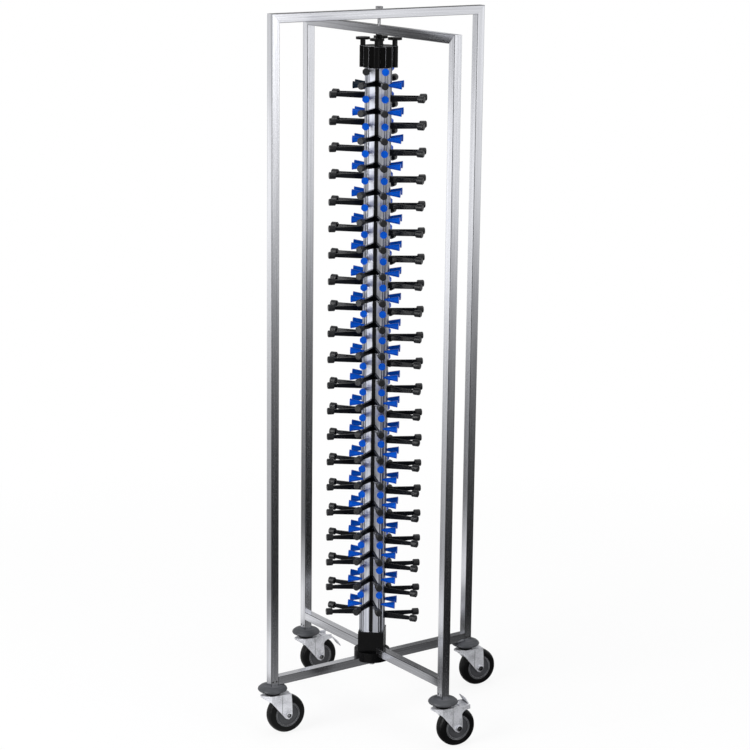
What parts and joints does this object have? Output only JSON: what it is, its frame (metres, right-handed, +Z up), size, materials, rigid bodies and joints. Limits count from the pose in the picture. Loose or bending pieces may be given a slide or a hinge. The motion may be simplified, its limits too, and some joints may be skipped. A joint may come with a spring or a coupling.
{
  "type": "mobile plate rack",
  "caption": "Column of paired support arms and plate stops inside two crossing tube hoops on swivel casters, holding plates level by their rims for stacking and transport.",
  "frame": {"origin": "on the folding axis at floor level, under the middle of the column", "axes": "+Z up along the column, -Y towards the front face of the column, +X to the right"},
  "size_m": [0.5737, 0.5658, 1.822],
  "materials": {
    "stainless_tube": "brushed stainless tube",
    "column_aluminium": "satin extruded aluminium",
    "hub_plastic": "black moulded plastic",
    "cap_plastic": "glossy black plastic",
    "slide_plastic": "black plastic slide",
    "arm_plastic": "near-black plastic arm",
    "pad_rubber": "dark grey rubber",
    "stop_plastic": "bright blue plastic",
    "bumper_plastic": "grey plastic",
    "zinc_plate": "bright zinc-plated sheet steel",
    "bolt_steel": "steel bolt",
    "wheel_plastic": "grey plastic wheel centre",
    "tyre_rubber": "dark grey rubber tyre"
  },
  "bodies": {
    "low_hoop": {"low_hoop_left_post": "stainless_tube", "low_hoop_right_post": "stainless_tube", "low_hoop_top_beam": "stainless_tube", "low_hoop_bottom_beam": "stainless_tube", "upper_hub": "hub_plastic", "column_foot": "hub_plastic", "top_pivot_bolt": "bolt_steel", "bottom_pivot_bolt": "bolt_steel", "column_profile": "column_aluminium", "top_cap": "cap_plastic", "front_grey_stop": "pad_rubber", "front_plate_stops": "stop_plastic", "right_plate_stops": "stop_plastic", "back_plate_stops": "stop_plastic", "left_plate_stops": "stop_plastic", "low_hoop_bumpers": "bumper_plastic", "low_hoop_caster_stems": "zinc_plate"},
    "tall_hoop": {"tall_hoop_left_post": "stainless_tube", "tall_hoop_right_post": "stainless_tube", "tall_hoop_top_beam": "stainless_tube", "tall_hoop_bottom_beam": "stainless_tube", "lower_hub": "hub_plastic", "tall_hoop_bumpers": "bumper_plastic", "tall_hoop_caster_stems": "zinc_plate"},
    "front_support": {"front_slide": "slide_plastic", "front_arms": "arm_plastic", "front_arm_pads": "pad_rubber"},
    "front_knob": {"front_height_knob": "cap_plastic"},
    "right_support": {"right_slide": "slide_plastic", "right_arms": "arm_plastic", "right_arm_pads": "pad_rubber"},
    "right_knob": {"right_height_knob": "cap_plastic"},
    "back_support": {"back_slide": "slide_plastic", "back_arms": "arm_plastic", "back_arm_pads": "pad_rubber"},
    "back_knob": {"back_height_knob": "cap_plastic"},
    "left_support": {"left_slide": "slide_plastic", "left_arms": "arm_plastic", "left_arm_pads": "pad_rubber"},
    "left_knob": {"left_height_knob": "cap_plastic"},
    "front_left_caster": {"front_left_fork": "zinc_plate", "front_left_axle": "zinc_plate"},
    "front_left_wheel": {"front_left_wheel_hub": "wheel_plastic", "front_left_tyre": "tyre_rubber"},
    "back_right_caster": {"back_right_fork": "zinc_plate", "back_right_axle": "zinc_plate"},
    "back_right_wheel": {"back_right_wheel_hub": "wheel_plastic", "back_right_tyre": "tyre_rubber"},
    "back_left_caster": {"back_left_fork": "zinc_plate", "back_left_axle": "zinc_plate"},
    "back_left_wheel": {"back_left_wheel_hub": "wheel_plastic", "back_left_tyre": "tyre_rubber"},
    "back_left_brake": {"back_left_brake_pedal": "zinc_plate"},
    "front_right_caster": {"front_right_fork": "zinc_plate", "front_right_axle": "zinc_plate"},
    "front_right_wheel": {"front_right_wheel_hub": "wheel_plastic", "front_right_tyre": "tyre_rubber"},
    "front_right_brake": {"front_right_brake_pedal": "zinc_plate"}
  },
  "joints": [
    {"name": "hoop_fold", "type": "hinge", "parent": "low_hoop", "child": "tall_hoop", "pos_m": [0, 0, 0.15], "axis": [0, 0, 1], "range_deg": [0, 50]},
    {"name": "front_height", "type": "slide", "parent": "low_hoop", "child": "front_support", "axis": [0, 0, 1], "range_m": [-0.0033, 0.0087]},
    {"name": "front_knob_turn", "type": "hinge", "parent": "low_hoop", "child": "front_knob", "pos_m": [0, -0.0395, 1.745], "axis": [0, 0, 1], "range_deg": [-783, 297]},
    {"name": "right_height", "type": "slide", "parent": "low_hoop", "child": "right_support", "axis": [0, 0, 1], "range_m": [0, 0.012]},
    {"name": "right_knob_turn", "type": "hinge", "parent": "low_hoop", "child": "right_knob", "pos_m": [0.0395, 0, 1.745], "axis": [0, 0, 1], "range_deg": [-1080, 0]},
    {"name": "back_height", "type": "slide", "parent": "low_hoop", "child": "back_support", "axis": [0, 0, 1], "range_m": [-0.0033, 0.0087]},
    {"name": "back_knob_turn", "type": "hinge", "parent": "low_hoop", "child": "back_knob", "pos_m": [0, 0.0395, 1.745], "axis": [0, 0, 1], "range_deg": [-783, 297]},
    {"name": "left_height", "type": "slide", "parent": "low_hoop", "child": "left_support", "axis": [0, 0, 1], "range_m": [-0.0076, 0.0044]},
    {"name": "left_knob_turn", "type": "hinge", "parent": "low_hoop", "child": "left_knob", "pos_m": [-0.0395, 0, 1.745], "axis": [0, 0, 1], "range_deg": [-396, 684]},
    {"name": "front_left_swivel", "type": "hinge", "parent": "tall_hoop", "child": "front_left_caster", "pos_m": [-0.22957, -0.20383, 0.11], "axis": [0, 0, 1], "continuous": true},
    {"name": "front_left_roll", "type": "hinge", "parent": "front_left_caster", "child": "front_left_wheel", "pos_m": [-0.19904, -0.18475, 0.05], "axis": [-0.5299, 0.848, 0], "continuous": true},
    {"name": "back_right_swivel", "type": "hinge", "parent": "tall_hoop", "child": "back_right_caster", "pos_m": [0.22957, 0.20383, 0.11], "axis": [0, 0, 1], "continuous": true},
    {"name": "back_right_roll", "type": "hinge", "parent": "back_right_caster", "child": "back_right_wheel", "pos_m": [0.2601, 0.2229, 0.05], "axis": [-0.5299, 0.848, 0], "continuous": true},
    {"name": "back_left_swivel", "type": "hinge", "parent": "low_hoop", "child": "back_left_caster", "pos_m": [-0.20582, 0.23182, 0.11], "axis": [0, 0, 1], "continuous": true},
    {"name": "back_left_roll", "type": "hinge", "parent": "back_left_caster", "child": "back_left_wheel", "pos_m": [-0.17529, 0.25089, 0.05], "axis": [-0.5299, 0.848, 0], "continuous": true},
    {"name": "back_left_brake_tilt", "type": "hinge", "parent": "back_left_caster", "child": "back_left_brake", "pos_m": [-0.16893, 0.25487, 0.104], "axis": [0.5299, -0.848, 0], "range_deg": [0, 24]},
    {"name": "front_right_swivel", "type": "hinge", "parent": "low_hoop", "child": "front_right_caster", "pos_m": [0.20582, -0.23182, 0.11], "axis": [0, 0, 1], "continuous": true},
    {"name": "front_right_roll", "type": "hinge", "parent": "front_right_caster", "child": "front_right_wheel", "pos_m": [0.23635, -0.21274, 0.05], "axis": [-0.5299, 0.848, 0], "continuous": true},
    {"name": "front_right_brake_tilt", "type": "hinge", "parent": "front_right_caster", "child": "front_right_brake", "pos_m": [0.24271, -0.20877, 0.104], "axis": [0.5299, -0.848, 0], "range_deg": [-24, 0]}
  ],
  "couplings": [
    {"joint": "front_knob_turn", "follows": "front_height", "rad_per_m": -1570.8},
    {"joint": "right_knob_turn", "follows": "right_height", "rad_per_m": -1570.8},
    {"joint": "back_knob_turn", "follows": "back_height", "rad_per_m": -1570.8},
    {"joint": "left_knob_turn", "follows": "left_height", "rad_per_m": -1570.8}
  ]
}
